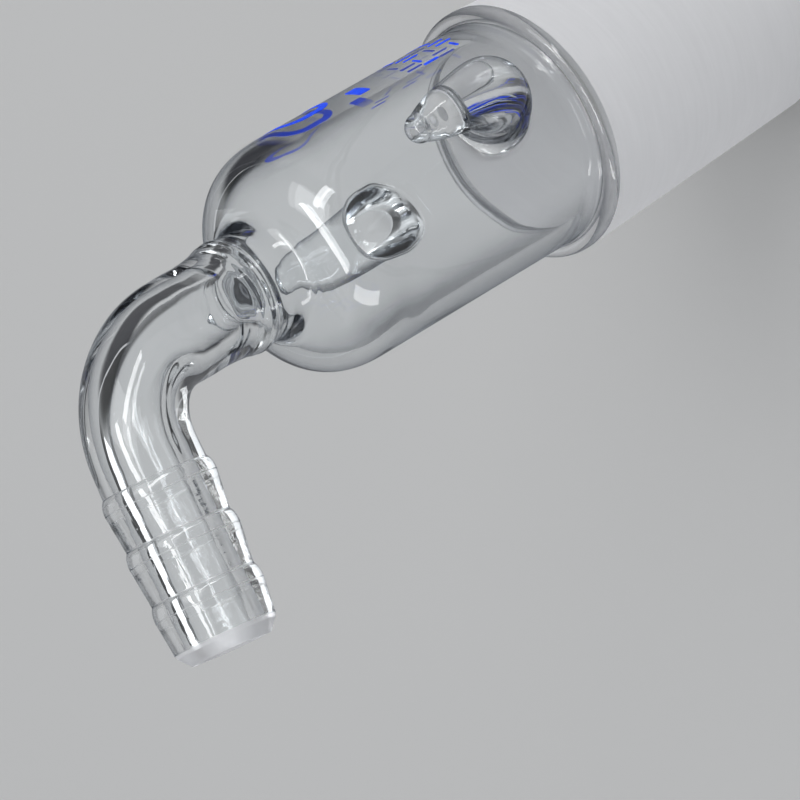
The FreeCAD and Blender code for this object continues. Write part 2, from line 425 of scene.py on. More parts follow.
def ground_material(name, glass_share, rough):
    """Fine-ground glass: matt white scatter over rough glass, with grinding grain and clouds."""
    material, tree = new_material(name)
    coords = object_coords(tree)
    fine = noise(tree, coords, scale=9000.0, detail=4.0, roughness=0.7)
    # squeezed along Z, so the grain runs round the cone
    grind = stretched_noise(tree, coords, (160, 160, 2600), detail=3.0, roughness=0.6)
    cloud = noise(tree, coords, scale=120.0, detail=5.0, roughness=0.6)
    grind_height = 0.5
    height = add(tree, "Math", grind, grind_height, fine, operation="MULTIPLY_ADD")
    normal = add(tree, "Bump", Strength=0.55, Distance=0.00003, Height=height)
    grain = mix_values(tree, "FLOAT", factor=0.62, first=cloud, second=grind)
    grey = add(tree, "MapRange", grain, From_Min=0.3, From_Max=0.7, To_Min=0.90, To_Max=0.95)
    blue_gain = 1.02
    blue = add(tree, "Math", grey, blue_gain, operation="MULTIPLY")
    look = {"Color": add(tree, "CombineColor", grey, grey, blue), "Normal": normal}
    glass = add(tree, "BsdfGlass", IOR=GLASS_IOR, Roughness=rough, **look)
    diffuse = add(tree, "BsdfDiffuse", **look)
    translucent = add(tree, "BsdfTranslucent", **look)
    translucent_share = 0.20
    matt = add(tree, "MixShader", translucent_share, diffuse, translucent)
    surface = add(tree, "MixShader", glass_share, matt, glass)
    see_through_for_shadows(tree, surface, face=0.62, edge=0.35)
    return material


def enamel_material():
    """Mottled blue enamel with a faint painted glow, so that it stays bright."""
    material, tree = new_material("fired_blue_enamel")
    mottle = noise(tree, object_coords(tree), scale=2600.0, detail=3.0, roughness=0.6)
    blues = add(tree, "ValToRGB", mottle)
    dark, light = blues.color_ramp.elements
    dark.position, dark.color = 0.30, (0.003, 0.032, 0.55, 1)
    light.position, light.color = 0.72, (0.008, 0.080, 0.86, 1)
    normal = add(tree, "Bump", Strength=0.4, Distance=0.00001, Height=mottle)
    # the emission is painted light that keeps the enamel bright; enamel gives off none
    surface = add(tree, "BsdfPrincipled", Base_Color=blues, Roughness=0.5,
                  Specular_IOR_Level=0.15, Normal=normal,
                  Emission_Color=blues, Emission_Strength=0.42)
    add(tree, "OutputMaterial", surface)
    return material


JOIN = join_material()
# each clear glass's edge sets how much painted edge shade it takes
GLASS_BODY = clear_glass(
    "clear_glass_drawn_along_body", draw_scale=(190, 190, 22), bump=0.30, edge=0.58,
    grain_scale=110.0)
GLASS_TUBE = clear_glass("clear_glass_drawn_tube", draw_scale=(200, 420, 60), bump=0.28)
GLASS_BARB = clear_glass(
    "clear_glass_moulded_barb", draw_scale=(45, 1000, 1000), bump=0.6, bump_depth=0.00007,
    rough=0.02, edge=0.46, grain_scale=900.0, grain_share=0.5, ripple_scale=(1500, 110, 110))
GLASS_LINE = clear_glass(
    "clear_glass_mould_edge", draw_scale=(300, 300, 300), bump=0.6, bump_depth=0.0001,
    rough=0.30, edge=0.75, grain_scale=900.0, grain_share=0.6)
GLASS_TIP = ground_material("ground_mouth_glass", glass_share=0.52, rough=0.30)
GLASS_HOOK = clear_glass("clear_glass_hook", draw_scale=(260, 260, 260), bump=0.4, edge=0.58)
# the back hook takes the strongest painted edge shade, so that its claw reads through the body
GLASS_HOOK_BACK = clear_glass(
    "clear_glass_hook_back", draw_scale=(260, 260, 260), bump=0.4, edge=0.80)
GROUND = ground_material("ground_joint_glass", glass_share=0.13, rough=0.42)
ENAMEL = enamel_material()


# ------------------------------------------------------------------ ground cone
def ground_cone():
    tip_outer = CONE_RADIUS + CONE_TAPER * CONE_TIP_Z
    tip_inner = tip_outer - CONE_WALL
    round_z = CONE_TIP_Z + TIP_ROUND
    outer_start = (tip_outer + CONE_TAPER * TIP_ROUND, round_z)
    inner_end = (tip_inner + CONE_TAPER * TIP_ROUND, round_z)
    inner_centre, outer_centre = tip_inner + TIP_ROUND, tip_outer - TIP_ROUND
    tip = np.concatenate([
        arc((inner_centre, round_z), TIP_ROUND, 180, 270, 10),
        line((inner_centre, CONE_TIP_Z), (outer_centre, CONE_TIP_Z), 5)[1:-1],
        arc((outer_centre, round_z), TIP_ROUND, 270, 360, 10),
    ])
    # the rounding meets the tapered walls
    tip[0], tip[-1] = inner_end, outer_start
    wobble = waves(seed=11, amplitude=0.04, terms=[(1, 3, 0.2, 1.0), (3, 7, 0.1, 0.5)])
    ring_piece("ground_cone_frosted", "ground_cone", [GROUND, GLASS_BODY, JOIN], [
        Strip(line(outer_start, (CONE_RADIUS, 0), 60), GROUND),
        Strip(line((CONE_RADIUS, 0), (CONE_BORE_TOP, 0), 2), JOIN),
        Strip(line((CONE_BORE_TOP, 0), inner_end, 60), GLASS_BODY,
              faded(wobble, round_z, 0, edge=2.0)),
        Strip(tip, GROUND),
    ])


# ------------------------------------------------------------------ shoulder
def cone_shoulder():
    lip_top = LIP_Z + LIP_ROUND
    fillet_top = lip_top + SHOULDER_FILLET
    outside = np.concatenate([
        line((CONE_RADIUS, 0), (CONE_RADIUS, LIP_Z), 4)[:-1],
        arc((CONE_RADIUS - LIP_ROUND, LIP_Z), LIP_ROUND, 0, 90, 14),
        arc((BODY_RADIUS + SHOULDER_FILLET, fillet_top), SHOULDER_FILLET, 270, 180, 9),
        line((BODY_RADIUS, fillet_top), (BODY_RADIUS, SHOULDER_Z), 5)[1:],
    ])
    down, flaring = (0, -1), (0.3, -1)
    inside = smooth_through([
        (BODY_INNER, SHOULDER_Z), (BODY_INNER + 0.12, 1.7), (BODY_INNER + 0.55, 1.0),
        (BODY_INNER + 1.0, 0.35), (CONE_BORE_TOP, 0),
    ], 8, down, flaring)
    ring_piece("cone_shoulder_clear", "cone_shoulder", [GLASS_BODY, JOIN], [
        Strip(outside, GLASS_BODY),
        Strip(line((BODY_RADIUS, SHOULDER_Z), (BODY_INNER, SHOULDER_Z), 2), JOIN),
        Strip(inside, GLASS_BODY, first=down, last=flaring),
        Strip(line((CONE_BORE_TOP, 0), (CONE_RADIUS, 0), 2), JOIN),
    ])


# ------------------------------------------------------------------ body tube
FOOT_ANGLES = 2 * np.pi * np.arange(FOOT_SEGMENTS) / FOOT_SEGMENTS


def foot_outline(centre=0.0, share=1.0):
    """A hook foot's ellipse as (distance round the body, z), shrunk by share."""
    return np.c_[centre + FOOT_HALF_WIDTH * np.cos(FOOT_ANGLES) * share,
                 FOOT_Z + FOOT_HALF_HEIGHT * np.sin(FOOT_ANGLES) * share]


def body_tube():
    """The body tube, its outside unrolled flat and triangulated along the hook feet."""
    around = 2 * math.pi * BODY_RADIUS
    column = around / BODY_SEGMENTS
    levels = np.linspace(SHOULDER_Z, DOME_Z, 52)
    foot_centres = [BODY_RADIUS * ((az - RING_START) % (2 * math.pi)) for az in HOOK_AZIMUTHS]
    clearance = 0.22                    # no lattice points this close to a foot's outline
    seam = 1e-4

    def in_foot(u, z, grow):
        return any(((u - centre) / (FOOT_HALF_WIDTH + grow)) ** 2
                   + ((z - FOOT_Z) / (FOOT_HALF_HEIGHT + grow)) ** 2 < 1
                   for centre in foot_centres)

    points, edges = [], []
    for i, z in enumerate(levels):
        for j in range(BODY_SEGMENTS + 1):
            u = j * column
            interior = 0 < i < len(levels) - 1 and 0 < j < BODY_SEGMENTS
            if interior and in_foot(u, z, clearance) and not in_foot(u, z, -clearance):
                continue
            points.append((u, z))
    for centre in foot_centres:
        start = len(points)
        points += [tuple(point) for point in foot_outline(centre)]
        edges += [(start + k, start + (k + 1) % FOOT_SEGMENTS) for k in range(FOOT_SEGMENTS)]
    flat, _, triangles, _, _, _ = delaunay_2d_cdt(
        [Vector(point) for point in points], edges, [], 0, 1e-6, True)
    uv = np.array([(v.x, v.y) for v in flat])

    # join the far edge of the unrolled sheet to the near edge
    near = {round(uv[i, 1], 3): i for i in np.where(uv[:, 0] < seam)[0]}
    merged = np.arange(len(uv))
    for i in np.where(uv[:, 0] > around - seam)[0]:
        merged[i] = near[round(uv[i, 1], 3)]
    kept = np.where(merged == np.arange(len(uv)))[0]

    build = Build([GLASS_BODY, JOIN])
    angle = RING_START + uv[:, 0] / BODY_RADIUS
    outward = np.c_[np.cos(angle), np.sin(angle), 0 * angle]
    outside = np.c_[BODY_RADIUS * np.cos(angle), BODY_RADIUS * np.sin(angle), uv[:, 1]]
    ids = np.empty(len(uv), int)
    ids[kept] = build.verts(outside[kept])
    ids = ids[merged]
    faces, normals, materials = [], [], []
    for a, b, c in triangles:
        ab, ac = uv[b] - uv[a], uv[c] - uv[a]
        area = ab[0] * ac[1] - ab[1] * ac[0]
        if abs(area) < 1e-9:
            continue
        middle = (uv[a] + uv[b] + uv[c]) / 3
        if area < 0:
            b, c = c, b
        faces.append((ids[a], ids[b], ids[c]))
        normals += [outward[a], outward[b], outward[c]]
        materials.append(JOIN if in_foot(*middle, -0.001) else GLASS_BODY)
    build.polygons(faces, normals, materials)

    def end_ring(z):
        """Outside vertices at a level, in order round the body."""
        ring = sorted((i for i in kept if abs(uv[i, 1] - z) < 1e-6), key=lambda i: uv[i, 0])
        return ids[ring]

    wobble = waves(seed=3, amplitude=0.045, terms=[
        (1, 3, 0.25, 1.0), (2, 5, 0.12, 0.8), (5, 9, 0.05, 0.35), (9, 17, 0.03, 0.16),
        (17, 31, 0.02, 0.08)])
    inside, inside_normals = revolve(
        line((BODY_INNER, DOME_Z), (BODY_INNER, SHOULDER_Z), 90), BODY_SEGMENTS,
        faded(wobble, SHOULDER_Z, DOME_Z, edge=3.0), UPRIGHT)
    inner = build.grid_verts(inside)
    build.grid(inner, inside_normals, GLASS_BODY)
    up = np.zeros((2, BODY_SEGMENTS, 3)) + Z_AXIS
    build.grid(np.stack([end_ring(levels[-1]), inner[0]]), up, JOIN)
    build.grid(np.stack([inner[-1], end_ring(levels[0])]), -up, JOIN)
    build.make("body_tube_clear", "body_tube")


# ------------------------------------------------------------------ rounded end and neck weld
def dome_curve(base, height, count):
    """Superellipse (radius, z) from the base radius up to the neck."""
    end = math.acos((NECK_RADIUS / base) ** (DOME_POWER / 2))
    # the power evens the spacing near the rim, where the curve bunches up
    angle = end * (np.linspace(0, 1, count) ** 1.15)
    return np.c_[base * np.cos(angle) ** (2 / DOME_POWER),
                 DOME_Z + height * np.sin(angle) ** (2 / DOME_POWER)]


def dome_slope(base, height):
    """Direction (dr, dz) of the dome curve at the neck."""
    share = NECK_RADIUS / base
    return (-1.0, height / base * share ** (DOME_POWER - 1)
            * (1 - share ** DOME_POWER) ** (1 / DOME_POWER - 1))


DOME_OUTER = dome_curve(BODY_RADIUS, DOME_HEIGHT, 70)
DOME_INNER = dome_curve(BODY_INNER, DOME_HEIGHT - DOME_WALL, 60)[::-1]
NECK_OUTER_Z, NECK_INNER_Z = DOME_OUTER[-1][1], DOME_INNER[0][1]
NECK_OUTER_SLOPE = dome_slope(BODY_RADIUS, DOME_HEIGHT)
NECK_INNER_SLOPE = dome_slope(BODY_INNER, DOME_HEIGHT - DOME_WALL)
NECK_INNER_BACK = (-NECK_INNER_SLOPE[0], -NECK_INNER_SLOPE[1])


def end_dome():
    ring_piece("end_dome_clear", "end_dome", [GLASS_BODY, JOIN], [
        Strip(DOME_OUTER, GLASS_BODY, None, (0, 1), NECK_OUTER_SLOPE),
        Strip(line((NECK_RADIUS, NECK_OUTER_Z), (NECK_RADIUS, NECK_INNER_Z), 2), JOIN),
        Strip(DOME_INNER, GLASS_BODY, None, NECK_INNER_BACK, (0, -1)),
        Strip(line((BODY_INNER, DOME_Z), (BODY_RADIUS, DOME_Z), 2), JOIN),
    ])


# weld outlines going up: radius, z
NECK_OUTSIDE = [
    (NECK_RADIUS, NECK_OUTER_Z), (6.22, 32.13), (5.78, 32.43), (5.42, 32.9), (5.19, 33.5),
    (5.09, 34.2), (5.08, 34.9), (5.14, 35.5), (5.24, 36.0), (5.25, 36.4), (5.15, 36.9),
    (4.98, 37.6), (4.86, 38.5), (4.78, 39.5), (TUBE_RADIUS, NECK_TOP),
]
NECK_INSIDE = [
    (NECK_RADIUS, NECK_INNER_Z), (5.95, 30.33), (5.25, 30.6), (4.6, 30.98), (4.14, 31.55),
    (3.88, 32.3), (3.74, 33.2), (3.66, 34.2), (3.54, 35.0), (3.25, 35.65), (2.88, 36.2),
    (2.62, 36.8), (BORE_RADIUS, 37.7), (BORE_RADIUS, NECK_TOP),
]


def weld_wobble(base_z, wobble, ring_z, spread, pitch, height, lean):
    """A wobble plus the fine rings that the flame leaves round a weld, a little askew."""
    broad = faded(wobble, base_z + 0.5, NECK_TOP, edge=1.5)

    def both(angle, z):
        turn = 2 * np.pi * (z - ring_z - lean * np.cos(angle - 0.6)) / pitch
        return broad(angle, z) + height * np.exp(-((z - ring_z) / spread) ** 2) * np.cos(turn)

    return both


def neck_weld():
    outside = smooth_through(NECK_OUTSIDE, 7, NECK_OUTER_SLOPE, (0, 1))
    inside = smooth_through(NECK_INSIDE, 7, NECK_INNER_SLOPE, (0, 1))[::-1]
    outer_wobble = weld_wobble(
        NECK_OUTER_Z,
        waves(seed=21, amplitude=0.03, terms=[(1, 4, 0.5, 1.0), (2, 6, 0.9, 0.5)]),
        ring_z=36.1, spread=0.8, pitch=0.78, height=0.030, lean=0.14)
    inner_wobble = weld_wobble(
        NECK_INNER_Z,
        waves(seed=22, amplitude=0.03, terms=[(1, 3, 0.5, 1.0), (2, 5, 0.9, 0.4)]),
        ring_z=35.7, spread=0.9, pitch=0.85, height=0.040, lean=-0.12)
    ring_piece("neck_weld_clear", "neck_weld", [GLASS_BODY, JOIN], [
        Strip(outside, GLASS_BODY, outer_wobble, NECK_OUTER_SLOPE, (0, 1)),
        Strip(line((TUBE_RADIUS, NECK_TOP), (BORE_RADIUS, NECK_TOP), 2), JOIN),
        Strip(inside, GLASS_BODY, inner_wobble, (0, -1), NECK_INNER_BACK),
        Strip(line((NECK_RADIUS, NECK_INNER_Z), (NECK_RADIUS, NECK_OUTER_Z), 2), JOIN),
    ])


# ------------------------------------------------------------------ elbow
# distances along the centreline from the neck's top
BEND_START_AT = BEND_Z - NECK_TOP
BEND_END_AT = BEND_START_AT + BEND_RADIUS * BEND_ANGLE
ELBOW_LENGTH = BEND_END_AT + STUB_LENGTH
BEND_REACH = 1.5                        # how far the flattening runs on past the bend


def elbow_radius(radius, wobble, oval, narrowing):
    """Radius round the elbow; the bend is flattened in its own plane and narrowed."""
    def at(angle, along):
        reach = (along - BEND_START_AT + BEND_REACH) / (BEND_END_AT - BEND_START_AT
                                                        + 2 * BEND_REACH)
        bent = math.sin(math.pi * min(1, max(0, reach))) ** 2
        return (radius + end_fade(along, 0, ELBOW_LENGTH, 1.6) * wobble(angle, along)
                + bent * (-oval * np.cos(2 * angle) - narrowing))
    return at


def sweep(radius_at, stations):
    """A tube surface along the elbow's centreline."""
    angle = ring_angles(TUBE_SEGMENTS)
    rows = []
    for along in stations:
        if along <= BEND_START_AT:
            centre, side = np.array([0, 0, NECK_TOP + along]), X_AXIS
        elif along <= BEND_END_AT:
            turn = (along - BEND_START_AT) / BEND_RADIUS
            centre = np.array([BEND_RADIUS * (1 - math.cos(turn)), 0,
                               BEND_Z + BEND_RADIUS * math.sin(turn)])
            side = np.array([math.cos(turn), 0, -math.sin(turn)])
        else:
            centre, side = BEND_END + ARM_ALONG * (along - BEND_END_AT), ARM_SIDE
        rows.append(centre + radius_at(angle, along)[:, None] * spokes(angle, side, Y_AXIS))
    points = np.array(rows)
    return points, ring_normals(points)


def elbow_tube():
    outer_radius = elbow_radius(
        TUBE_RADIUS, waves(seed=31, amplitude=0.034, terms=[
            (1, 3, 0.35, 1.0), (2, 5, 0.5, 0.6), (3, 8, 0.9, 0.25)]),
        oval=0.10, narrowing=0.06)
    bore_radius = elbow_radius(
        BORE_RADIUS, waves(seed=32, amplitude=0.038, terms=[
            (1, 3, 0.35, 1.0), (2, 4, 0.5, 0.7), (3, 7, 0.9, 0.3)]),
        oval=0.22, narrowing=0.10)
    build = Build([GLASS_TUBE, JOIN])
    stations = np.linspace(0, ELBOW_LENGTH, 150)
    outside, outside_normals = sweep(outer_radius, stations)
    inside, inside_normals = sweep(bore_radius, stations[::-1])
    outer = build.grid_verts(outside)
    inner = build.grid_verts(inside)
    build.grid(outer, outside_normals, GLASS_TUBE)
    build.grid(inner, inside_normals, GLASS_TUBE)
    flat = np.zeros((2, TUBE_SEGMENTS, 3))
    build.grid(np.stack([outer[-1], inner[0]]), flat + ARM_ALONG, JOIN)
    build.grid(np.stack([inner[-1], outer[0]]), flat - Z_AXIS, JOIN)
    build.make("elbow_tube_clear", "elbow_tube")


# ------------------------------------------------------------------ hose barb
# radius, distance along the barb; each crest stands between two roots
BARB_ROOTS = [(4.76, 0.0), (4.72, 4.84), (4.68, 9.84), (4.62, 14.35)]
BARB_CRESTS = [(5.14, 1.30), (5.07, 6.15), (4.98, 11.15)]
BARB_LENGTH = 15.7
BORE_BEVEL = 0.25
MOULD_LINE = 0.11
# the mouth, from the last root round into the bore: radius, distance, rows up to this point
BARB_MOUTH = [
    (4.50, 14.65, 3), (3.62, BARB_LENGTH, 6), (BORE_RADIUS + BORE_BEVEL, BARB_LENGTH, 4),
    (BORE_RADIUS, BARB_LENGTH - BORE_BEVEL, 3),
]


def barb_ridge(root, crest, next_root, wobble):
    """Steep side up to the crest, a fine mould line, then a long taper to the next root."""
    (root_radius, root_at), (crest_radius, crest_at) = root, crest
    height, run = crest_radius - root_radius, (crest_at - root_at) / 1.35
    rise = smooth_through([
        root, (root_radius + height * 0.55, root_at + 0.30 * run),
        (root_radius + height * 0.93, root_at + 0.85 * run), crest], 7)
    slope = (next_root[0] - crest_radius) / (next_root[1] - crest_at)
    after_crest = (crest_radius + slope * MOULD_LINE, crest_at + MOULD_LINE)
    before_root = (next_root[0] - slope * MOULD_LINE, next_root[1] - MOULD_LINE)
    return [
        Strip(rise[:3], GLASS_LINE, wobble),
        Strip(rise[2:], GLASS_BARB, wobble),
        Strip(line(crest, after_crest, 2), GLASS_LINE, wobble),
        Strip(line(after_crest, before_root, 13), GLASS_BARB, wobble),
        Strip(line(before_root, next_root, 2), GLASS_LINE, wobble),
    ]


def hose_barb():
    outer_waves = waves(seed=41, amplitude=0.018, terms=[
        (2, 4, 0.3, 0.6), (4, 9, 0.6, 0.4), (9, 16, 1.2, 0.25)])
    outer_wobble = faded(outer_waves, 0.0, BARB_ROOTS[-1][1], edge=0.8)
    strips = []
    for root, crest, next_root in zip(BARB_ROOTS, BARB_CRESTS, BARB_ROOTS[1:]):
        strips += barb_ridge(root, crest, next_root, outer_wobble)
    start = BARB_ROOTS[-1]
    for radius, along, rows in BARB_MOUTH:
        strips.append(Strip(line(start, (radius, along), rows), GLASS_TIP))
        start = (radius, along)
    bore_waves = waves(seed=42, amplitude=0.022, terms=[(1, 3, 0.3, 1.0), (2, 6, 0.5, 0.5)])
    strips += [
        Strip(line(start, (BORE_RADIUS, 0), 50), GLASS_BARB,
              faded(bore_waves, 0, start[1], edge=2.0)),
        Strip(line((BORE_RADIUS, 0), (TUBE_RADIUS, 0), 2), JOIN),
        Strip(line((TUBE_RADIUS, 0), BARB_ROOTS[0], 2), GLASS_LINE),
    ]
    ring_piece("hose_barb_clear", "hose_barb",
               [GLASS_BARB, JOIN, GLASS_TIP, GLASS_LINE], strips, TUBE_SEGMENTS, BARB_AXES)


# ------------------------------------------------------------------ spring hooks
# stations along a claw: distance out from the body, height above HOOK_Z, radius
CLAW = [
    (2.14, 0.95, 3.70), (3.40, 1.62, 3.55), (4.60, 2.50, 3.38), (5.70, 3.72, 3.16),
    (6.45, 5.20, 2.90), (6.81, 6.90, 2.60), (6.80, 8.60, 2.32), (6.66, 10.00, 2.04),
    (6.50, 11.20, 1.68), (6.43, 12.05, 1.34),
]
CLAW_CAP_ROWS = 11


def claw_stations():
    """The smoothed claw with its rounded end, and the direction (out, up) of that end."""
    claw = smooth_through(CLAW, 9)
    end = unit(claw[-1, :2] - claw[-2, :2])
    end = unit(end + np.array([-0.10, 0.0]))    # the end leans in towards the body
    radius = claw[-1, 2]
    cap = []
    for share in np.linspace(0, 1, CLAW_CAP_ROWS + 1)[1:]:
        angle = share * math.radians(86)
        cap.append([*(claw[-1, :2] + end * radius * math.sin(angle)), radius * math.cos(angle)])
    return np.concatenate([claw, cap]), end


def spring_hook(name, node, azimuth, glass):
    out = np.array([math.cos(azimuth), math.sin(azimuth), 0.0])
    across = np.array([-math.sin(azimuth), math.cos(azimuth), 0.0])

    def body_normal(u):
        angle = np.asarray(u) / BODY_RADIUS
        return np.cos(angle)[..., None] * out + np.sin(angle)[..., None] * across

    def on_body(u, z):
        return BODY_RADIUS * body_normal(u) + np.asarray(z)[..., None] * Z_AXIS

    foot_u, foot_z = foot_outline().T
    foot = on_body(foot_u, foot_z)

    # rings along the claw's centreline
    claw, end = claw_stations()
    centre = (BODY_RADIUS + claw[:, :1]) * out + (HOOK_Z + claw[:, 1:2]) * Z_AXIS
    along = np.gradient(centre, axis=0)
    along[-CLAW_CAP_ROWS:] = end[0] * out + end[1] * Z_AXIS
    along = unit(along)
    upper = np.cross(along, across)
    cos, sin = np.cos(FOOT_ANGLES)[:, None], np.sin(FOOT_ANGLES)[:, None]
    rings = centre[:, None] + claw[:, 2][:, None, None] * (
        cos[None] * across + sin[None] * upper[:, None])

    # fillet from the foot's edge, tangent to the body, up to the first ring of the claw
    foot_angle = foot_u / BODY_RADIUS
    round_body = -np.sin(foot_angle)[:, None] * out + np.cos(foot_angle)[:, None] * across
    foot_pull = -unit(cos / FOOT_HALF_WIDTH * round_body + sin / FOOT_HALF_HEIGHT * Z_AXIS)
    claw_pull = unit(rings[1] - rings[0])
    span = np.linalg.norm(rings[0] - foot, axis=1)[:, None]
    t = (np.linspace(0, 1, 22)[:-1] ** 1.1)[:, None, None]
    fillet = hermite(t, foot, foot_pull * span * 0.9, rings[0], claw_pull * span * 1.2)

    points = np.concatenate([fillet, rings])
    normals = ring_normals(points)
    normals[0] = body_normal(foot_u)
    build = Build([glass, JOIN])
    ids = build.grid_verts(points)
    build.grid(ids, normals, glass)
    apex = build.verts([centre[-1] + along[-1] * claw[-1, 2] * 0.07])[0]
    faces, corner_normals = [], []
    for i in range(FOOT_SEGMENTS):
        j = (i + 1) % FOOT_SEGMENTS
        faces.append((ids[-1][i], ids[-1][j], apex))
        corner_normals += [normals[-1][i], normals[-1][j], along[-1]]
    build.polygons(faces, corner_normals, [glass] * len(faces))

    # the face fused to the body, closed by a fan in its middle
    shares = np.linspace(1, 0, 9)[:-1]
    inner = np.array([on_body(*foot_outline(share=share).T) for share in shares[1:]])
    inner_ids = build.grid_verts(inner)
    face_normals = -np.stack([body_normal(foot_u * share) for share in shares])[::-1]
    build.grid(np.concatenate([ids[:1], inner_ids])[::-1], face_normals, JOIN)
    middle = build.verts([on_body(0.0, FOOT_Z)])[0]
    ring = inner_ids[-1]
    faces = [(ring[(i + 1) % FOOT_SEGMENTS], ring[i], middle) for i in range(FOOT_SEGMENTS)]
    build.polygons(faces, [-out] * (3 * FOOT_SEGMENTS), [JOIN] * FOOT_SEGMENTS)
    build.make(name, node)


# ------------------------------------------------------------------ fired marks
INK = 0.03                              # the ink reaches this far above and below the surface
RAGGED = 0.016                          # roughness of the ink's edges
STROKE = 0.34
LONG_MARK = 4                           # degrees; marks wider than this lie round the body
LIFTS = (0.0, 0.5, -0.5)                # height offsets that the long marks take by place
# rows of marks: bottom z, top z, [(start azimuth, end azimuth) in degrees]
MARK_ROWS = [
    (8.2, 10.0, [
        (146.0, 148.6), (151.0, 157.0), (160.0, 162.6), (165.5, 168.1), (171.0, 179.0),
        (182.0, 184.6), (188.0, 196.0), (199.0, 201.6), (204.5, 207.1)]),
    (4.6, 6.4, [
        (148.0, 154.0), (157.0, 159.6), (162.5, 165.1), (168.0, 176.0), (179.5, 182.1),
        (185.0, 191.0), (194.0, 196.6), (199.5, 202.1)]),
]
ink_rng = np.random.default_rng(7)      # shared by all strokes in turn


def ragged_edge(count):
    return np.convolve(ink_rng.normal(0, 1, count + 8), np.ones(5) / 5, "same")[4:-4] * RAGGED


def on_cylinder(uv, radius):
    angle = uv[:, 0] / BODY_RADIUS
    return np.c_[radius * np.cos(angle), radius * np.sin(angle), uv[:, 1]]


def stroke(build, path, half_width, closed):
    """Ink that follows the body along a path of (distance round the body, z)."""
    count = len(path)
    if closed:
        along = np.roll(path, -1, 0) - np.roll(path, 1, 0)
    else:
        along = np.gradient(path, axis=0)
    along = unit(along)
    side = np.c_[-along[:, 1], along[:, 0]]
    left = path + side * (half_width + ragged_edge(count))[:, None]
    right = path - side * (half_width + ragged_edge(count))[:, None]
    # each section: five points over the top from left to right, five back underneath
    lanes = [left * (1 - k) + right * k for k in np.linspace(0, 1, 5)]
    top = [on_cylinder(lane, BODY_RADIUS + INK) for lane in lanes]
    under = [on_cylinder(lane, BODY_RADIUS - INK) for lane in lanes[::-1]]
    sections = np.stack(top + under, 1)
    ids = build.grid_verts(sections)
    grid_ids, grid_points = ids, sections
    if closed:
        grid_ids = np.concatenate([ids, ids[:1]])
        grid_points = np.concatenate([sections, sections[:1]])
    angle = np.arctan2(grid_points[..., 1], grid_points[..., 0])
    outward = np.stack([np.cos(angle), np.sin(angle), 0 * angle], -1)
    run = np.gradient(grid_points, axis=0)
    columns = ids.shape[1]
    for a in range(columns):
        b = (a + 1) % columns
        if a < 4:
            normals = np.stack([outward[:, a], outward[:, b]], 1)
        elif 5 <= a < 9:
            normals = -np.stack([outward[:, a], outward[:, b]], 1)
        else:
            edge = unit(np.cross(grid_points[:, b] - grid_points[:, a], run[:, a]))
            normals = np.stack([edge, edge], 1)
        build.grid(np.stack([grid_ids[:, a], grid_ids[:, b]], 1), normals, ENAMEL, closed=False)
    if not closed:
        for face, row, neighbour in ((ids[0][::-1], 0, 1), (ids[-1], -1, -2)):
            facing = unit(sections[row].mean(0) - sections[neighbour].mean(0))
            build.polygons([face], [facing] * len(face), [ENAMEL])


def bar(build, from_degrees, to_degrees, low, high):
    """A printed bar with slightly rounded corners, its long way along the body or round it."""
    u0, u1 = math.radians(from_degrees) * BODY_RADIUS, math.radians(to_degrees) * BODY_RADIUS
    upright = high - low >= u1 - u0
    start, end, width = (low, high, u1 - u0) if upright else (u0, u1, high - low)
    half = width / 2
    corner = min(0.22, half * 0.8)
    ease = corner * (1 - np.cos(np.linspace(0, math.pi / 2, 7)))
    run = np.r_[start + ease, np.linspace(start + corner, end - corner, 14)[1:-1],
                (end - ease)[::-1]]
    near = np.minimum(run - start, end - run)
    rounded = np.sqrt(np.maximum(corner ** 2 - (corner - near) ** 2, 1e-4))
    half_width = np.where(near < corner, half - corner + rounded, half)
    if upright:
        path = np.c_[np.full(len(run), (u0 + u1) / 2), run]
    else:
        path = np.c_[run, np.full(len(run), (low + high) / 2)]
    stroke(build, path, half_width, closed=False)


def rounded_frame(from_degrees, to_degrees, low, high, corner, thickness):
    """Evenly spaced centreline of a rounded rectangle's border."""
    inset = thickness / 2 + corner
    left = math.radians(from_degrees) * BODY_RADIUS + inset
    right = math.radians(to_degrees) * BODY_RADIUS - inset
    bottom, top = low + inset, high - inset
    corners = ((right, top, 0), (left, top, 90), (left, bottom, 180), (right, bottom, 270))
    outline = np.concatenate([arc((u, z), corner, a, a + 90, 12) for u, z, a in corners])
    outline = np.concatenate([outline, outline[:1]])
    lengths = np.r_[0, np.cumsum(np.linalg.norm(np.diff(outline, axis=0), axis=1))]
    at = np.linspace(0, lengths[-1], 161)[:-1]
    return np.c_[np.interp(at, lengths, outline[:, 0]), np.interp(at, lengths, outline[:, 1])]


def enamel_frame():
    build = Build([ENAMEL])
    thickness = 0.85
    path = rounded_frame(from_degrees=160.0, to_degrees=200.0, low=18.6, high=24.3,
                         corner=1.6, thickness=thickness)
    stroke(build, path, np.full(len(path), thickness / 2), closed=True)
    build.make("enamel_frame_print", "enamel_frame_mark")


def enamel_bars():
    build = Build([ENAMEL])
    bar(build, from_degrees=152.5, to_degrees=163.5, low=15.7, high=17.1)
    half_degrees = math.degrees(STROKE / 2 / BODY_RADIUS)
    for low, high, marks in MARK_ROWS:
        for place, (start, end) in enumerate(marks):
            if end - start > LONG_MARK:
                z = (low + high) / 2 + LIFTS[place % 3]
                bar(build, start, end, z - STROKE / 2, z + STROKE / 2)
            else:
                middle = (start + end) / 2
                bar(build, middle - half_degrees, middle + half_degrees, low, high)
    build.make("enamel_bar_prints", "enamel_bar_marks")


ground_cone()
cone_shoulder()
body_tube()
end_dome()
neck_weld()
elbow_tube()
hose_barb()
spring_hook("spring_hook_front_clear", "spring_hook_front", HOOK_AZIMUTHS[0], GLASS_HOOK)
spring_hook("spring_hook_back_clear", "spring_hook_back", HOOK_AZIMUTHS[1], GLASS_HOOK_BACK)
enamel_frame()
enamel_bars()

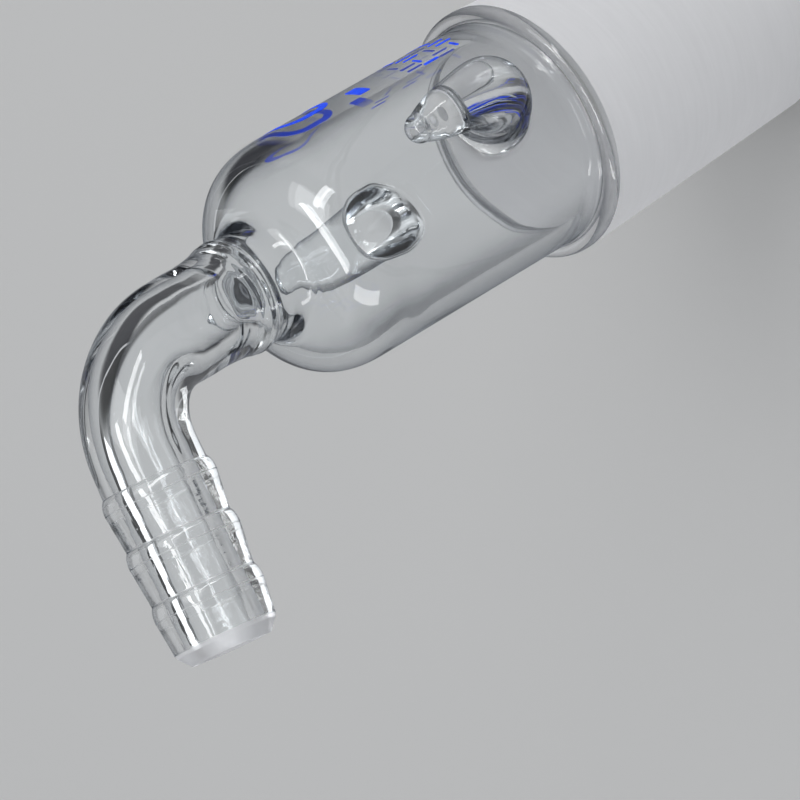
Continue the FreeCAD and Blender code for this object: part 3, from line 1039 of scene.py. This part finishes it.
# ------------------------------------------------------------------ stage, in metres
FLOOR_Z = CONE_TIP_Z * MM - 0.00005
FLOOR_ALBEDO = 0.50
BACKDROP = (0.500, 0.508, 0.520, 1)


def direction(azimuth, elevation):
    az, el = math.radians(azimuth), math.radians(elevation)
    return (math.cos(az) * math.cos(el), math.sin(az) * math.cos(el), math.sin(el))


def sheet(name, radii, start, end, steps, z, material):
    """A flat sheet between rings of the given radii and two azimuths, in degrees."""
    columns = steps if end - start >= 359.9 else steps + 1
    points, faces = [], []
    for radius in radii:
        for j in range(columns):
            angle = math.radians(start + (end - start) * j / steps)
            points.append((radius * math.cos(angle), radius * math.sin(angle), z))
    for i in range(len(radii) - 1):
        inner, outer = i * columns, (i + 1) * columns
        for j in range(steps):
            k = (j + 1) % columns
            faces.append((inner + j, outer + j, outer + k, inner + k))
    mesh = bpy.data.meshes.new(name)
    mesh.from_pydata(points, [], faces)
    mesh.materials.append(material)
    ob = bpy.data.objects.new(name, mesh)
    bpy.context.scene.collection.objects.link(ob)
    return ob


def flat_position(tree, coords):
    """The horizontal part of a position, and its length."""
    split = add(tree, "SeparateXYZ", coords)
    flat = add(tree, "CombineXYZ", split.outputs["X"], split.outputs["Y"])
    return flat, add(tree, "VectorMath", flat, operation="LENGTH").outputs["Value"]


def floor_material():
    """Matt pale floor that melts into the backdrop far away, so that no horizon shows."""
    material, tree = new_material("pale_floor")
    coords = object_coords(tree)
    _, radius = flat_position(tree, coords)
    grey = smooth_range(tree, noise(tree, coords, scale=14.0), low=0.2, high=0.8,
                        to_low=FLOOR_ALBEDO * 0.992, to_high=FLOOR_ALBEDO * 1.008)
    near = add(tree, "BsdfPrincipled", Base_Color=add(tree, "CombineColor", grey, grey, grey),
               Roughness=0.8, Specular_IOR_Level=0.15)
    far = add(tree, "Emission", Color=BACKDROP)
    distant = smooth_range(tree, radius, low=0.45, high=1.9)
    add(tree, "OutputMaterial", add(tree, "MixShader", distant, near, far))
    return material


def dark_card(name, azimuth, half_angle):
    """A black card lying beside the object. Only the glass sees it, and its edges are soft."""
    material, tree = new_material(name + "_black")
    flat, radius = flat_position(tree, object_coords(tree))
    heading = add(tree, "VectorMath", flat, operation="NORMALIZE")
    facing = add(tree, "VectorMath", heading, direction(azimuth, 0),
                 operation="DOT_PRODUCT").outputs["Value"]
    sideways = smooth_range(tree, facing, low=math.cos(math.radians(half_angle)),
                            high=math.cos(math.radians(half_angle * 0.6)))
    outwards = smooth_range(tree, radius, low=0.045, high=0.10)
    cover = add(tree, "Math", sideways, outwards, operation="MULTIPLY")
    clear = add(tree, "BsdfTransparent")
    black = add(tree, "BsdfDiffuse", Color=(0.045, 0.045, 0.05, 1))
    add(tree, "OutputMaterial", add(tree, "MixShader", cover, clear, black))
    ob = sheet(name, [0.04, 0.12, 0.3, 0.8, 2.0], azimuth - half_angle - 1,
               azimuth + half_angle + 1, steps=24, z=FLOOR_Z + 0.0005, material=material)
    ob.visible_camera = False
    ob.visible_diffuse = False
    ob.visible_shadow = False


sheet("studio_floor", [0.0001, 0.05, 0.1, 0.2, 0.4, 0.8, 1.6, 3.0, 6.0], 0, 360, steps=96,
      z=FLOOR_Z, material=floor_material())
dark_card("dark_card_right", azimuth=16, half_angle=44)
dark_card("dark_card_left", azimuth=221, half_angle=25)

# ------------------------------------------------------------------ camera
# rows: the camera's right, down and forward directions
CAMERA_AXES = np.array([
    [0.50737231, 0.5246874, -0.68357624],
    [0.86144828, -0.28865605, 0.41783316],
    [0.02191338, -0.80086255, -0.59844714],
])
# the object's origin as the camera sees it, along those directions
ORIGIN_FROM_CAMERA_MM = np.array([10.470, -23.776, 597.903])


def add_camera():
    data = bpy.data.cameras.new("camera")
    data.sensor_width = 36
    data.lens = 304.56
    data.clip_start, data.clip_end = 0.01, 30
    camera = bpy.data.objects.new("camera", data)
    right, down, forward = CAMERA_AXES
    pose = np.eye(4)
    pose[:3, :3] = np.stack([right, -down, -forward], 1)
    pose[:3, 3] = -CAMERA_AXES.T @ ORIGIN_FROM_CAMERA_MM * MM
    camera.matrix_world = Matrix(pose.tolist())
    bpy.context.scene.collection.objects.link(camera)
    bpy.context.scene.camera = camera


add_camera()

# ------------------------------------------------------------------ surround
# darker patches of the surround that draw the glass's edges:
# azimuth, elevation, full-strength angle, fade-out angle (degrees), light kept
DARK_PATCHES = [
    (18, 8, 20, 46, 0.07), (221, 6, 12, 30, 0.07), (60, 42, 8, 30, 0.35),
    (305, 45, 8, 28, 0.4), (263, 4, 9, 22, 0.10),
]


def lobe(tree, towards, inner, outer):
    """1 within inner degrees of a direction, falling to 0 at outer degrees."""
    coords = add(tree, "TexCoord").outputs["Generated"]
    facing = add(tree, "VectorMath", coords, towards, operation="DOT_PRODUCT").outputs["Value"]
    return smooth_range(tree, facing, low=math.cos(math.radians(outer)),
                        high=math.cos(math.radians(inner)))


def surround():
    """Plain backdrop to the camera, even light to matt surfaces, patchy light to the glass."""
    world = bpy.data.worlds.new("surround")
    bpy.context.scene.world = world
    world.use_nodes = True
    tree = world.node_tree
    tree.nodes.clear()

    def calculate(operation, a, b):
        return add(tree, "Math", a, b, operation=operation)

    base_level, overhead_gain = 0.44, 0.30
    overhead = lobe(tree, (0, 0, 1), inner=20, outer=65)
    level = calculate("ADD", base_level, calculate("MULTIPLY", overhead, overhead_gain))
    for azimuth, elevation, inner, outer, keep in DARK_PATCHES:
        patch = lobe(tree, direction(azimuth, elevation), inner, outer)
        loss = calculate("MULTIPLY", patch, 1 - keep)
        level = calculate("MULTIPLY", level, calculate("SUBTRACT", 1.0, loss))
    studio = add(tree, "Background", Color=(0.965, 0.985, 1.0, 1), Strength=level)
    plain = add(tree, "Background", Color=BACKDROP)
    tent = add(tree, "Background", Color=(0.97, 0.985, 1.0, 1), Strength=0.78)
    path = add(tree, "LightPath")
    unseen = add(tree, "MixShader", path.outputs["Is Diffuse Ray"], studio, tent)
    seen = add(tree, "MixShader", path.outputs["Is Camera Ray"], unseen, plain)
    add(tree, "OutputWorld", seen)


surround()

# ------------------------------------------------------------------ lights
LIGHT_TARGET = Vector(np.array([4.0, 0.0, 18.0]) * MM)


def softbox(name, location, width, height, radiance, color=(1, 1, 1), on_matt=False):
    """A rectangular soft light aimed at the object. With on_matt off, matt surfaces miss it."""
    data = bpy.data.lights.new(name, "AREA")
    data.shape = "RECTANGLE"
    data.size, data.size_y = width, height
    data.energy = radiance * math.pi * width * height
    data.color = color
    ob = bpy.data.objects.new(name, data)
    ob.location = Vector(location)
    ob.rotation_mode = "QUATERNION"
    ob.rotation_quaternion = (LIGHT_TARGET - Vector(location)).to_track_quat("-Z", "Y")
    ob.visible_diffuse = on_matt
    bpy.context.scene.collection.objects.link(ob)


softbox("key_box", location=(-0.70, 0.55, 0.95), width=0.9, height=0.9, radiance=2.6,
        on_matt=True)
softbox("overhead_strip", location=(-0.06, 0.40, 0.88), width=1.1, height=0.14, radiance=13.0)
softbox("rear_box", location=(-0.10, -0.95, 0.52), width=0.66, height=0.46, radiance=1.25,
        color=(0.97, 0.985, 1.0))
softbox("side_strip_left", location=(-0.62, 0.72, 0.32), width=0.12, height=0.9, radiance=10.0)
softbox("side_strip_right", location=(0.95, 0.35, 0.42), width=0.14, height=0.9, radiance=7.0)

# ------------------------------------------------------------------ render settings
view = bpy.context.scene.view_settings
view.view_transform = "Standard"
view.look = "None"
view.exposure = 0.0
cycles = bpy.context.scene.cycles
cycles.max_bounces = 28
cycles.transmission_bounces = 24
cycles.glossy_bounces = 12
cycles.diffuse_bounces = 3
cycles.transparent_max_bounces = 48
cycles.use_denoising = True
cycles.sample_clamp_indirect = 8.0
cycles.blur_glossy = 0.3

bpy.context.view_layer.update()
